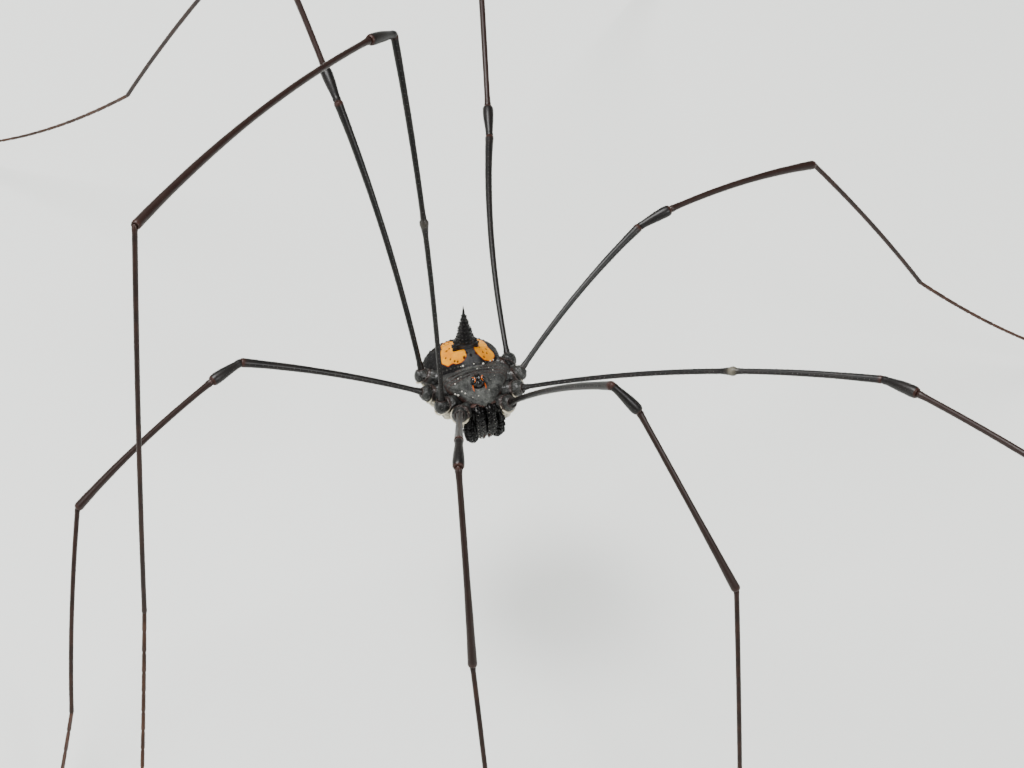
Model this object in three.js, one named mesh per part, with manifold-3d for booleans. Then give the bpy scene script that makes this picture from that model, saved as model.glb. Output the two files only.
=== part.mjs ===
import * as THREE from 'three';
import { mergeVertices } from 'three/addons/utils/BufferGeometryUtils.js';
import Module from 'manifold-3d';

// Long-legged harvestman with a back spine, life size, in millimetres.
// It faces -Y, its left side is +X, and the ends of its legs lie on the floor at Z = 0.
const wasm = await Module();
wasm.setup();

// Sizes of the body
const HIP_HEIGHT = 19.0;
const SEGMENT_GAP = 0.3;
const BODY_GAP = 0.2;
const FINE_GAP = 0.1;
const CARAPACE_RADII = [2.2, 1.75, 0.95];
const CARAPACE_CENTRE = [0, -0.15, 0.05];
const CARAPACE_FRONT = { y: -1.6, halfWidth: 0.78, slope: 0.71 };
const ABDOMEN_CENTRE = [-0.2, 2.7, -0.75];
const ABDOMEN_HALF_WIDTH = 2.53;
const ABDOMEN_FRONT = 2.4;
const ABDOMEN_BLUNTNESS = 2.8;
const ABDOMEN_BACK = 1.75;
const ABDOMEN_RISE = 1.4;
const ABDOMEN_DEPTH = 1.1;
const PEAK_RISE = 1.0;
const PEAK_Y = 2.0;
const PEAK_SPREAD = { side: 1.5, front: 1.4, back: 1.1 };
const WAIST_Y = 0.86;
const EYE_MOUND_RADII = [0.42, 0.45, 0.62];
const EYE_MOUND_CENTRE = [0, -0.5, 1.0];
const EYE_RADIUS = 0.19;
const EYE_PLACE = [0.3, -0.55, 1.33];
const SPINE_FOOT = [0, 2.2, 1.4];
const SPINE_TIP = [0.06, 2.8, 4.62];
const SPINE_COLLAR_RADIUS = 0.8;
const SPINE_SHAFT_RADIUS = 0.52;

// Sizes of the legs, the two sides alike
const HIPS = { 1: [1.6, -1.9], 2: [2.45, -0.9], 3: [3.05, 0.37], 4: [2.95, 1.85] };
// The left hind hips are drawn in and forward, as the animal holds them
const HIP_SHIFTS = { l3: [-0.14, -0.12], l4: [-0.35, -0.37] };
const COXA_ROOTS = { 1: [0.85, -1.12], 2: [1.32, -0.42], 3: [1.62, 0.32], 4: [1.6, 1.12] };
const COXA_DROP = 0.38;
const TROCHANTER_RADIUS = 0.5;
const LENGTHS = {
  1: { femur: 13.4, patella: 2.3, tibia: 12.6, metatarsus: 15.5, tarsus: 22 },
  2: { femur: 24.8, patella: 2.6, tibia: 24.0, metatarsus: 24.1, tarsus: 40 },
  3: { femur: 12.4, patella: 2.3, tibia: 11.9, metatarsus: 14.2, tarsus: 22 },
  4: { femur: 18.2, patella: 2.4, tibia: 16.0, metatarsus: 23.0, tarsus: 28 },
};
const BOW = { femur: 0.03, patella: 0.02, tibia: 0.03, metatarsus: 0.015 };
const FLOOR_LIFT = 0.21;

// How each leg is held: turn from straight ahead and rise above the level, in degrees
const POSE = {
  r1: { femur: [-16, 44], patella: [-17, 8], tibia: [-10, -60], metatarsus: [-5, -61], tarsus: -31 },
  l1: { femur: [25, 47], patella: [49, -41], tibia: [26, -46], metatarsus: [-12, -62], tarsus: -31 },
  r2: { femur: [178, 66], patella: [-54, 29], tibia: [-47, 14], metatarsus: [-22, -68], tarsus: -60 },
  l2: { femur: [54, 23], patella: [31, 16], tibia: [26, 7], metatarsus: [40, -62], tarsus: -34 },
  r3: { femur: [-99, 23], patella: [-65, 0], tibia: [-81, -37], metatarsus: [-26, -61], tarsus: -31 },
  l3: { femur: [122, 19], patella: [99, 15], tibia: [106, -12], metatarsus: [73, -55], tarsus: -42 },
  r4: { femur: [-170, 52], patella: [-175, 19], tibia: [-180, -7], metatarsus: [-128, -59], tarsus: -44 },
  l4: { femur: [167, 5.4], patella: [166, 11], tibia: [166, 9], metatarsus: [129, -48], tarsus: -31 },
};
// Sideways bow of single segments, in millimetres at the middle
const SWAY = {
  r2: { femur: 0.22, tibia: 0.28 },
  l2: { femur: -0.35 },
  r3: { metatarsus: 0.12 },
  l3: { femur: -0.18, tibia: -0.1 },
  r4: { femur: 0.2 },
  l4: { femur: -0.47 },
  l1: { tibia: 0.19 },
};

const UP = new THREE.Vector3(0, 0, 1);
const group = new THREE.Group();

const shell = (color, roughness) => new THREE.MeshStandardMaterial({ color, roughness, metalness: 0 });
const carapaceGrey = shell(0x2c2b2b, 0.6);
const scutumBlack = shell(0x211e1d, 0.5);
const spineBlack = shell(0x0e0d0d, 0.4);
const eyeBlack = shell(0x050505, 0.1);
const coxaGrey = shell(0x2b2a2a, 0.5);
const legBlack = shell(0x141212, 0.35);
const legBrown = shell(0x2e1a14, 0.4);
const tarsusBrown = shell(0x4a2a1c, 0.5);
const mouthBlack = shell(0x191717, 0.5);

function heading(turn, rise) {
  const t = THREE.MathUtils.degToRad(turn);
  const r = THREE.MathUtils.degToRad(rise);
  return new THREE.Vector3(Math.sin(t) * Math.cos(r), -Math.cos(t) * Math.cos(r), Math.sin(r));
}

function place([x, y, z], side = 1) {
  return new THREE.Vector3(side * x, y, HIP_HEIGHT + z);
}

// Closed body from a geometry: shared corners joined, empty triangles dropped, faces turned outward
function closed(geometry) {
  const bare = geometry.index ? geometry.clone() : geometry;
  bare.deleteAttribute('normal');
  bare.deleteAttribute('uv');
  const merged = mergeVertices(bare, 1e-4);
  const source = merged.index.array;
  const position = merged.attributes.position;
  const kept = [];
  let volume = 0;
  const a = new THREE.Vector3();
  const b = new THREE.Vector3();
  const c = new THREE.Vector3();
  for (let i = 0; i < source.length; i += 3) {
    const [p, q, r] = [source[i], source[i + 1], source[i + 2]];
    if (p === q || q === r || r === p) continue;
    kept.push(p, q, r);
    a.fromBufferAttribute(position, p);
    b.fromBufferAttribute(position, q);
    c.fromBufferAttribute(position, r);
    volume += a.dot(b.cross(c));
  }
  if (volume < 0) {
    for (let i = 0; i < kept.length; i += 3) {
      const swap = kept[i + 1];
      kept[i + 1] = kept[i + 2];
      kept[i + 2] = swap;
    }
  }
  merged.setIndex(kept);
  return merged;
}

function toManifold(geometry) {
  const body = closed(geometry);
  return new wasm.Manifold(new wasm.Mesh({
    numProp: 3,
    vertProperties: Float32Array.from(body.attributes.position.array),
    triVerts: Uint32Array.from(body.index.array),
  }));
}

// The largest closed surface of a joined or cut body, as a geometry
function fromManifold(body) {
  let best = null;
  let bestSize = -1;
  for (const piece of body.decompose()) {
    const size = piece.volume();
    if (size > bestSize) {
      best = piece;
      bestSize = size;
    }
  }
  const mesh = best.getMesh();
  const geometry = new THREE.BufferGeometry();
  geometry.setAttribute('position', new THREE.BufferAttribute(Float32Array.from(mesh.vertProperties), 3));
  geometry.setIndex(Array.from(mesh.triVerts));
  return geometry;
}

function cut(geometry, cutters) {
  let body = toManifold(geometry);
  for (const cutter of cutters) {
    body = body.subtract(toManifold(cutter));
  }
  return fromManifold(body);
}

// Round limb: a lathe profile of [share of length, radius] carried along a path
function limb(path, profile, sides, grow = 0) {
  const outline = profile.map(([share, radius]) => new THREE.Vector2(radius + grow, share));
  outline.unshift(new THREE.Vector2(0, profile[0][0]));
  outline.push(new THREE.Vector2(0, profile[profile.length - 1][0]));
  const geometry = new THREE.LatheGeometry(outline, sides, Math.PI / sides);
  const position = geometry.attributes.position;
  const start = path.getTangentAt(0);
  const across = start.clone().cross(UP);
  if (across.length() < 0.05) across.set(1, 0, 0);
  across.normalize();
  for (let i = 0; i < position.count; i += 1) {
    const share = position.getY(i);
    const at = path.getPointAt(share);
    const tangent = path.getTangentAt(share);
    const side = across.clone().addScaledVector(tangent, -across.dot(tangent)).normalize();
    const lift = side.clone().cross(tangent);
    at.addScaledVector(side, position.getX(i)).addScaledVector(lift, position.getZ(i));
    position.setXYZ(i, at.x, at.y, at.z);
  }
  return geometry;
}

// Egg: a sphere stretched to three radii
function egg(centre, radii, grow = 0, around = 24, rings = 14) {
  const geometry = new THREE.SphereGeometry(1, around, rings);
  geometry.rotateX(Math.PI / 2);
  geometry.scale(radii[0] + grow, radii[1] + grow, radii[2] + grow);
  geometry.translate(centre[0], centre[1], HIP_HEIGHT + centre[2]);
  return geometry;
}

// Front shield: a low dome whose sides run straight from a narrow front out to the waist
function shield(grow = 0, around = 28, rings = 16) {
  const geometry = new THREE.SphereGeometry(1, around, rings);
  geometry.rotateX(Math.PI / 2);
  const position = geometry.attributes.position;
  for (let i = 0; i < position.count; i += 1) {
    const [ux, uy, uz] = [position.getX(i), position.getY(i), position.getZ(i)];
    const y = CARAPACE_CENTRE[1] + uy * (CARAPACE_RADII[1] + grow);
    const blunt = Math.sqrt(Math.max(1 - uy ** 6, 1e-6) / Math.max(1 - uy * uy, 1e-6));
    const sloping = CARAPACE_FRONT.halfWidth + CARAPACE_FRONT.slope * (y - CARAPACE_FRONT.y);
    const halfWidth = Math.min(sloping, CARAPACE_RADII[0]) + grow;
    const z = CARAPACE_CENTRE[2] + uz * (CARAPACE_RADII[2] + grow);
    position.setXYZ(i, CARAPACE_CENTRE[0] + ux * blunt * halfWidth, y, HIP_HEIGHT + z);
  }
  return geometry;
}

// Abdomen: an egg, blunter in front, drawn up to a low peak under the back spine
function abdomen(grow = 0, around = 32, rings = 18) {
  const geometry = new THREE.SphereGeometry(1, around, rings);
  geometry.rotateX(Math.PI / 2);
  const position = geometry.attributes.position;
  for (let i = 0; i < position.count; i += 1) {
    const [ux, uy, uz] = [position.getX(i), position.getY(i), position.getZ(i)];
    const round = Math.max(1 - uy * uy, 1e-6);
    const blunt = uy < 0 ? Math.sqrt(Math.max(1 - (-uy) ** ABDOMEN_BLUNTNESS, 1e-6) / round) : 1;
    const x = ABDOMEN_CENTRE[0] + ux * blunt * (ABDOMEN_HALF_WIDTH + grow);
    const y = ABDOMEN_CENTRE[1] + uy * ((uy < 0 ? ABDOMEN_FRONT : ABDOMEN_BACK) + grow);
    const along = (y - PEAK_Y) / (y < PEAK_Y ? PEAK_SPREAD.front : PEAK_SPREAD.back);
    const spread = (x / PEAK_SPREAD.side) ** 2 + along ** 2;
    const peak = uz > 0 ? PEAK_RISE * Math.min(uz * 3, 1) * Math.exp(-spread) : 0;
    const z = ABDOMEN_CENTRE[2] + uz * blunt * ((uz > 0 ? ABDOMEN_RISE : ABDOMEN_DEPTH) + grow) + peak;
    position.setXYZ(i, x, y, HIP_HEIGHT + z);
  }
  return geometry;
}

// Slopes a limb's end to the plane that halves the bend at a joint, half a gap short of it
function mitre(geometry, joint, own, other, inward) {
  const normal = own.clone().add(other).normalize();
  const position = geometry.attributes.position;
  const point = new THREE.Vector3();
  for (let i = 0; i < position.count; i += 1) {
    point.fromBufferAttribute(position, i);
    const depth = point.clone().sub(joint).dot(normal) * inward;
    if (depth < SEGMENT_GAP / 2) {
      const shift = (SEGMENT_GAP / 2 - depth) / own.dot(normal);
      point.addScaledVector(own, shift * inward);
      position.setXYZ(i, point.x, point.y, point.z);
    }
  }
}

function add(name, geometry, material) {
  const mesh = new THREE.Mesh(closed(geometry), material);
  mesh.name = name;
  group.add(mesh);
}

function sideOf(name) {
  return name[0] === 'r' ? -1 : 1;
}

// Where a leg's femur turns in its hip knob
function hipOf(name) {
  const [x, y] = HIPS[name[1]];
  const [inward, forward] = HIP_SHIFTS[name] ?? [0, 0];
  return place([x + inward, y + forward, 0], sideOf(name));
}

// Coxa and trochanter of one leg, from inside the body's side out to the hip knob
function hipPath(name) {
  const root = place([...COXA_ROOTS[name[1]], -COXA_DROP], sideOf(name));
  const hip = hipOf(name);
  const out = hip.clone().sub(root).normalize();
  return new THREE.LineCurve3(root, hip.clone().addScaledVector(out, TROCHANTER_RADIUS * 0.86));
}

function hipLimb(name, grow = 0) {
  const knob = TROCHANTER_RADIUS;
  const profile = [[0, 0.3], [0.1, 0.38], [0.34, 0.44], [0.5, 0.36], [0.56, knob * 0.82]];
  profile.push([0.68, knob * 0.98], [0.78, knob], [0.9, knob * 0.82], [1, knob * 0.42]);
  return limb(hipPath(name), profile, 12, grow);
}

// Profiles of the leg segments as [share of length, radius]
const PROFILES = {
  femur: [[0, 0.25], [0.1, 0.25], [0.3, 0.25], [0.5, 0.25], [0.72, 0.26], [0.9, 0.28], [0.97, 0.33],
    [1, 0.3]],
  patella: [[0, 0.27], [0.32, 0.31], [0.72, 0.38], [1, 0.3]],
  tibia: [[0, 0.28], [0.08, 0.26], [0.3, 0.25], [0.55, 0.26], [0.8, 0.3], [0.95, 0.32], [1, 0.28]],
  metatarsus: [[0, 0.27], [0.08, 0.25], [0.5, 0.25], [1, 0.25]],
};
const NODULES = { r2: 0.515, l2: 0.61 };
const NODULE_RADIUS = 0.34;
const NODULE_HALF_LENGTH = 0.035;

function segmentPath(from, direction, length, lift, sway) {
  const across = direction.clone().cross(UP).normalize();
  const rising = across.clone().cross(direction);
  const to = from.clone().addScaledVector(direction, length);
  const middle = from.clone().lerp(to, 0.5);
  middle.addScaledVector(rising, 2 * lift).addScaledVector(across, 2 * sway);
  return new THREE.QuadraticBezierCurve3(from.clone(), middle, to);
}

// The last segment drops to the floor, bends level and runs out along it
function tarsusPath(from, turn, drop, length) {
  const level = heading(turn, 0);
  const fall = from.z - FLOOR_LIFT;
  const reach = fall / Math.tan(THREE.MathUtils.degToRad(-drop));
  const knee = from.clone().addScaledVector(level, reach);
  knee.z = FLOOR_LIFT;
  const landing = knee.clone().addScaledVector(level, 0.6 * Math.hypot(fall, reach));
  const bend = new THREE.QuadraticBezierCurve3(from.clone(), knee, landing);
  const rest = Math.max(length - bend.getLength(), 4);
  const path = new THREE.CurvePath();
  path.add(bend);
  path.add(new THREE.LineCurve3(landing, landing.clone().addScaledVector(level, rest)));
  return path;
}

const grownHips = Object.keys(POSE).map((name) => hipLimb(name, BODY_GAP));

for (const [name, pose] of Object.entries(POSE)) {
  const sizes = LENGTHS[name[1]];
  add(`leg_${name}_coxa`, hipLimb(name), coxaGrey);
  let joint = hipOf(name);
  const order = ['femur', 'patella', 'tibia', 'metatarsus'];
  const directions = order.map((kind) => heading(...pose[kind]));
  directions.push(heading(pose.metatarsus[0], pose.tarsus));
  order.forEach((kind, i) => {
    const direction = directions[i];
    const length = sizes[kind];
    const sway = SWAY[name]?.[kind] ?? 0;
    const path = segmentPath(joint, direction, length, BOW[kind] * length, sway);
    let profile = PROFILES[kind];
    if (kind === 'femur') {
      const start = (TROCHANTER_RADIUS + BODY_GAP) / length;
      profile = profile.map(([share, radius]) => [start + share * (1 - start), radius]);
      if (NODULES[name]) {
        const at = NODULES[name];
        profile = profile.filter(([share]) => Math.abs(share - at) > NODULE_HALF_LENGTH);
        profile.push([at - NODULE_HALF_LENGTH, 0.25], [at, NODULE_RADIUS], [at + NODULE_HALF_LENGTH, 0.25]);
        profile.sort((a, b) => a[0] - b[0]);
      }
    }
    const geometry = limb(path, profile, 8);
    const end = path.getPointAt(1);
    if (i > 0) mitre(geometry, joint, direction, directions[i - 1], 1);
    mitre(geometry, end, direction, directions[i + 1], -1);
    const material = kind === 'metatarsus' ? legBrown : legBlack;
    add(`leg_${name}_${kind}`, geometry, material);
    joint = end;
  });
  const path = tarsusPath(joint, pose.metatarsus[0], pose.tarsus, sizes.tarsus);
  const profile = [[0, 0.25], [0.06, 0.25], [0.12, 0.25], [0.18, 0.25], [0.25, 0.25], [0.32, 0.25]];
  profile.push([0.4, 0.25], [0.5, 0.25], [0.62, 0.25], [0.76, 0.25], [0.88, 0.25], [0.96, 0.2], [1, 0.12]);
  const geometry = limb(path, profile, 8);
  mitre(geometry, joint, directions[4], directions[3], 1);
  const position = geometry.attributes.position;
  for (let i = 0; i < position.count; i += 1) {
    position.setZ(i, Math.max(position.getZ(i), 0));
  }
  add(`leg_${name}_tarsus`, geometry, tarsusBrown);
}

// Front body: the carapace dome, with sockets for the hips, cut off behind at the waist
const behindWaist = new THREE.BoxGeometry(10, 10, 10);
behindWaist.translate(0, WAIST_Y - BODY_GAP / 2 + 5, HIP_HEIGHT);
const beforeWaist = new THREE.BoxGeometry(10, 10, 10);
beforeWaist.translate(0, WAIST_Y + BODY_GAP / 2 - 5, HIP_HEIGHT);
add('prosoma', cut(shield(), [behindWaist, ...grownHips]), carapaceGrey);
add('opisthosoma', cut(abdomen(), [beforeWaist, ...grownHips]), scutumBlack);

// Back spine: a collar, a rough cone and a needle tip
const foot = place(SPINE_FOOT);
const tip = place(SPINE_TIP);
const spineProfile = [[0, SPINE_COLLAR_RADIUS * 1.06], [0.1, SPINE_COLLAR_RADIUS]];
spineProfile.push([0.19, SPINE_SHAFT_RADIUS * 1.25], [0.27, SPINE_SHAFT_RADIUS]);
spineProfile.push([0.42, SPINE_SHAFT_RADIUS * 0.8], [0.57, 0.3], [0.72, 0.19], [0.85, 0.11], [1, 0.03]);
const spine = limb(new THREE.LineCurve3(foot, tip), spineProfile, 14);
add('spine', cut(spine, [abdomen(FINE_GAP)]), spineBlack);

// Eye mound with an eye on each side
const eyes = [-1, 1].map((side) => [side * EYE_PLACE[0], EYE_PLACE[1], EYE_PLACE[2]]);
const grownEyes = eyes.map((centre) => egg(centre, Array(3).fill(EYE_RADIUS), 0.05, 14, 8));
const mound = egg(EYE_MOUND_CENTRE, EYE_MOUND_RADII, 0, 18, 10);
add('eye_mound', cut(mound, [shield(FINE_GAP), ...grownEyes]), mouthBlack);
add('eye_r', egg(eyes[0], Array(3).fill(EYE_RADIUS), 0, 14, 8), eyeBlack);
add('eye_l', egg(eyes[1], Array(3).fill(EYE_RADIUS), 0, 14, 8), eyeBlack);

// Jaws and feelers, hung in front of the head
const CHELICERA_STOPS = [[0.34, -1.5, 0.0], [0.35, -2.05, 0.02], [0.36, -2.36, -0.35]];
CHELICERA_STOPS.push([0.36, -2.45, -1.0], [0.34, -2.42, -1.7], [0.24, -2.3, -2.35]);
const CHELICERA_PROFILE = [[0, 0.25], [0.15, 0.28], [0.35, 0.29], [0.5, 0.28], [0.7, 0.29]];
CHELICERA_PROFILE.push([0.88, 0.23], [1, 0.08]);
const PALP_STOPS = {
  r: [[0.78, -1.5, -0.5], [1.02, -1.95, -0.6], [1.16, -2.25, -1.15], [1.08, -2.4, -1.8],
    [0.74, -2.38, -2.45]],
  l: [[0.78, -1.5, -0.5], [0.99, -1.95, -0.6], [1.1, -2.22, -1.15], [1.05, -2.35, -1.8],
    [0.74, -2.32, -2.35]],
};
const PALP_PROFILE = [[0, 0.25], [0.2, 0.27], [0.4, 0.31], [0.6, 0.32], [0.75, 0.3], [0.9, 0.22], [1, 0.1]];

function hanging(stops, profile, side, grow = 0) {
  const path = new THREE.CatmullRomCurve3(stops.map((stop) => place(stop, side)));
  return limb(path, profile, 10, grow);
}

const grownFront = shield(BODY_GAP);
for (const side of [-1, 1]) {
  const letter = side < 0 ? 'r' : 'l';
  const chelicera = hanging(CHELICERA_STOPS, CHELICERA_PROFILE, side);
  add(`chelicera_${letter}`, cut(chelicera, [grownFront]), mouthBlack);
  const neighbours = [grownFront, hanging(CHELICERA_STOPS, CHELICERA_PROFILE, side, FINE_GAP), ...grownHips];
  add(`pedipalp_${letter}`, cut(hanging(PALP_STOPS[letter], PALP_PROFILE, side), neighbours), mouthBlack);
}

// The part's origin lies under the middle of its box, on the floor
const box = new THREE.Box3().setFromObject(group);
const centre = box.getCenter(new THREE.Vector3());
for (const mesh of group.children) {
  mesh.geometry.translate(-centre.x, -centre.y, -box.min.z);
}

export default group;
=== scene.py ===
import math
import random

import bmesh
import bpy
from mathutils import Matrix, Vector, noise
from mathutils.bvhtree import BVHTree


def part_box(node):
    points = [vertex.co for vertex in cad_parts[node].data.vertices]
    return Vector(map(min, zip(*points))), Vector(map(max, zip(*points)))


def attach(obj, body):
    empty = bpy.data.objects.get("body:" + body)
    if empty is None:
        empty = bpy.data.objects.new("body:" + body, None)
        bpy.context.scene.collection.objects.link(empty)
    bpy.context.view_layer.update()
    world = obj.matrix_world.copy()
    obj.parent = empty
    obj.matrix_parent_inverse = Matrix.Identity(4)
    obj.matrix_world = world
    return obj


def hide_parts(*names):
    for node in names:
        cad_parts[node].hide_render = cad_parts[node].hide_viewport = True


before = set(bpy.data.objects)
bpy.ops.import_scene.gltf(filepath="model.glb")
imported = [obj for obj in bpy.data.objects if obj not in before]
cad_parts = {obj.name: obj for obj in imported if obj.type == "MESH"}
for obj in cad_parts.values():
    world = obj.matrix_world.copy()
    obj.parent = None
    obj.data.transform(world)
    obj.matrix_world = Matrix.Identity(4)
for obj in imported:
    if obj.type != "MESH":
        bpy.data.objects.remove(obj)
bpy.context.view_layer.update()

# Everything is shaped in millimetres, with the origin between the hips at hip height,
# and carried to its place in metres when a piece is finished.
MM = 0.001
EYE_PLACE = Vector((0.3, -0.55, 1.33))
EYE_RADIUS = 0.19

eye_corners = [Vector(corner) for eye in ("eye_r", "eye_l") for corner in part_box(eye)]
ORIGIN = sum(eye_corners, Vector()) / 4 - Vector((0, EYE_PLACE.y, EYE_PLACE.z)) * MM
FLOOR = -ORIGIN.z / MM
TO_FRAME = Matrix.Translation(ORIGIN) @ Matrix.Scale(MM, 4)

# Leg sizes and pose, as the solids have them
HIPS = {1: (1.6, -1.9), 2: (2.45, -0.9), 3: (3.05, 0.37), 4: (2.95, 1.85)}
HIP_SHIFTS = {"l3": (-0.14, -0.12), "l4": (-0.35, -0.37)}
COXA_ROOTS = {1: (0.62, -1.12), 2: (1.0, -0.42), 3: (1.2, 0.32), 4: (1.2, 1.12)}
COXA_DROP = 0.95
KNOB = 0.5
FOOT_RADIUS = 0.135
KINDS = ("femur", "patella", "tibia", "metatarsus")
LENGTHS = {
    1: (13.4, 2.3, 12.6, 15.5, 22),
    2: (24.8, 2.6, 24.0, 24.1, 40),
    3: (12.4, 2.3, 11.9, 14.2, 22),
    4: (18.2, 2.4, 16.0, 23.0, 28),
}
LENGTHS = {pair: dict(zip((*KINDS, "tarsus"), row)) for pair, row in LENGTHS.items()}
BOW = {"femur": 0.03, "patella": 0.02, "tibia": 0.03, "metatarsus": 0.015}
# Each segment's turn from straight ahead to the left and rise from level, in degrees,
# and last how steeply the end goes down to the floor
POSE = {
    "r1": ((-16, 44), (-17, 8), (-10, -60), (-5, -61), -31),
    "l1": ((25, 47), (49, -41), (26, -46), (-12, -62), -31),
    "r2": ((178, 66), (-54, 29), (-47, 14), (-22, -68), -60),
    "l2": ((54, 23), (31, 16), (26, 7), (40, -62), -34),
    "r3": ((-99, 23), (-65, 0), (-81, -37), (-26, -61), -31),
    "l3": ((122, 19), (99, 15), (106, -12), (73, -55), -42),
    "r4": ((-170, 52), (-175, 19), (-180, -7), (-128, -59), -44),
    "l4": ((167, 5.4), (166, 11), (166, 9), (129, -48), -31),
}
POSE = {name: dict(zip((*KINDS, "drop"), row)) for name, row in POSE.items()}
SWAY = {
    ("r2", "femur"): 0.22, ("r2", "tibia"): 0.28, ("l2", "femur"): -0.35, ("r3", "metatarsus"): 0.12,
    ("l3", "femur"): -0.18, ("l3", "tibia"): -0.1, ("r4", "femur"): 0.2, ("l4", "femur"): -0.47,
    ("l1", "tibia"): 0.19,
}
# Where the knots on two femora are, as a share of the length, and how pale they are
NODULES = {"r2": (0.515, 0.055), "l2": (0.61, 0.22)}
UP = Vector((0, 0, 1))
ACROSS = Vector((1, 0, 0))


# Materials

class Value:
    """A number that varies over a surface, so that it can be written in sums."""

    def __init__(self, finish, socket):
        self.finish = finish
        self.socket = socket

    def _sum(self, operation, a, b):
        return self.finish.node("ShaderNodeMath", {"operation": operation}, {0: a, 1: b})

    def __add__(self, other):
        return self._sum("ADD", self, other)

    def __sub__(self, other):
        return self._sum("SUBTRACT", self, other)

    def __rsub__(self, other):
        return self._sum("SUBTRACT", other, self)

    def __mul__(self, other):
        return self._sum("MULTIPLY", self, other)

    __radd__ = __add__
    __rmul__ = __mul__


class Finish:
    """One surface finish and the nodes that make it."""

    def __init__(self, name, roughness=0.5, coat=0.0, specular=0.5):
        self.material = bpy.data.materials.new(name)
        self.material.use_nodes = True
        self.tree = self.material.node_tree
        self.shader = self.tree.nodes["Principled BSDF"]
        self.shader.inputs["Roughness"].default_value = roughness
        self.shader.inputs["Coat Weight"].default_value = coat
        self.shader.inputs["Coat Roughness"].default_value = 0.15
        self.shader.inputs["Specular IOR Level"].default_value = specular

    def node(self, kind, settings=None, sockets=None, out=0):
        made = self.tree.nodes.new(kind)
        for name, value in (settings or {}).items():
            setattr(made, name, value)
        for name, value in (sockets or {}).items():
            self.feed(made.inputs[name], value)
        return Value(self, made.outputs[out])

    def feed(self, socket, value):
        if isinstance(value, Value):
            self.tree.links.new(value.socket, socket)
        elif isinstance(value, (tuple, list)) and len(value) == 3 and socket.type == "RGBA":
            socket.default_value = (*value, 1)
        else:
            socket.default_value = value

    def set(self, **sockets):
        for name, value in sockets.items():
            self.feed(self.shader.inputs[name.replace("_", " ")], value)

    def place(self):
        """The place on the object in millimetres from the middle of the body."""
        place = self.node("ShaderNodeTexCoord", out=3)
        place = self.node("ShaderNodeVectorMath", {"operation": "SUBTRACT"}, {0: place, 1: tuple(ORIGIN)})
        return self.node("ShaderNodeVectorMath", {"operation": "SCALE"}, {0: place, "Scale": 1 / MM})

    def mark(self, name):
        return self.node("ShaderNodeAttribute", {"attribute_name": name}, out=2)

    def grain(self, place, scale, detail=3.0, roughness=0.55):
        sockets = {"Vector": place, "Scale": scale, "Detail": detail, "Roughness": roughness}
        return self.node("ShaderNodeTexNoise", sockets=sockets)

    def step(self, value, low, high):
        """0 below low, 1 above high, smooth between them."""
        sockets = {0: value, 1: low, 2: high, 3: 0.0, 4: 1.0}
        return self.node("ShaderNodeMapRange", {"interpolation_type": "SMOOTHSTEP"}, sockets)

    def mix(self, share, first, second):
        return self.node("ShaderNodeMix", {"data_type": "RGBA"}, {0: share, 6: first, 7: second}, out=2)

    def tint(self, colour, **tones):
        """The colour with each marked place in its own tone, later ones over earlier ones."""
        for name, tone in tones.items():
            colour = self.mix(self.mark(name), colour, tone)
        return colour

    def bump(self, height, distance, strength=1.0, under=None):
        sockets = {"Height": height, "Distance": distance * MM, "Strength": strength}
        if under is not None:
            sockets["Normal"] = under
        return self.node("ShaderNodeBump", sockets=sockets)


def carapace_finish():
    finish = Finish("carapace", roughness=0.5, coat=0.04, specular=0.3)
    place = finish.place()
    blotch = finish.grain(place, 1.6, 4)
    fine = finish.grain(place, 9, 5, 0.7)
    folds = finish.grain(place, 24, 3, 0.6)
    colour = finish.mix(finish.step(blotch, 0.38, 0.66), (0.016, 0.0165, 0.0157), (0.068, 0.070, 0.064))
    colour = finish.mix(finish.step(fine, 0.52, 0.8) * 0.6, colour, (0.10, 0.10, 0.10))
    # On this shield the dark marked tone is painted shade, over the back towards the waist folds and in the
    # hollows at the front sides.
    colour = finish.tint(colour, grey=(0.085, 0.087, 0.080), pit=(0.016, 0.0155, 0.0145),
                         warm=(0.040, 0.013, 0.008), cream=(0.50, 0.46, 0.36), pale=(0.66, 0.63, 0.56))
    ridge = finish.bump(finish.step(fine, 0.3, 0.75), 0.05, 0.8)
    finish.set(Base_Color=colour, Roughness=0.40 + fine * 0.24, Normal=finish.bump(folds, 0.02, 0.7, ridge))
    return finish.material


def scutum_finish():
    finish = Finish("scutum", roughness=0.45, coat=0.0, specular=0.1)
    place = finish.place()
    blotch = finish.grain(place, 1.4, 4)
    fine = finish.grain(place, 8, 5, 0.7)
    colour = finish.mix(finish.step(blotch, 0.4, 0.7), (0.0045, 0.004, 0.004), (0.014, 0.0135, 0.0135))
    colour = finish.tint(colour, grey=(0.045, 0.045, 0.046))
    glow = finish.mix(finish.step(blotch, 0.35, 0.65), (0.60, 0.20, 0.0), (0.74, 0.30, 0.0))
    edge = finish.mark("patch")
    colour = finish.mix(finish.step(edge, 0.02, 0.3), colour, (0.34, 0.045, 0.004))
    colour = finish.mix(finish.step(edge, 0.25, 0.75), colour, glow)
    colour = finish.tint(colour, pit=(0.05, 0.010, 0.004), cream=(0.34, 0.30, 0.23),
                         warm=(0.045, 0.016, 0.009), pale=(0.66, 0.63, 0.56))
    ridge = finish.bump(finish.step(fine, 0.3, 0.75), 0.03, 0.6)
    finish.set(Base_Color=colour, Roughness=0.36 + fine * 0.22, Normal=ridge)
    return finish.material


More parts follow.
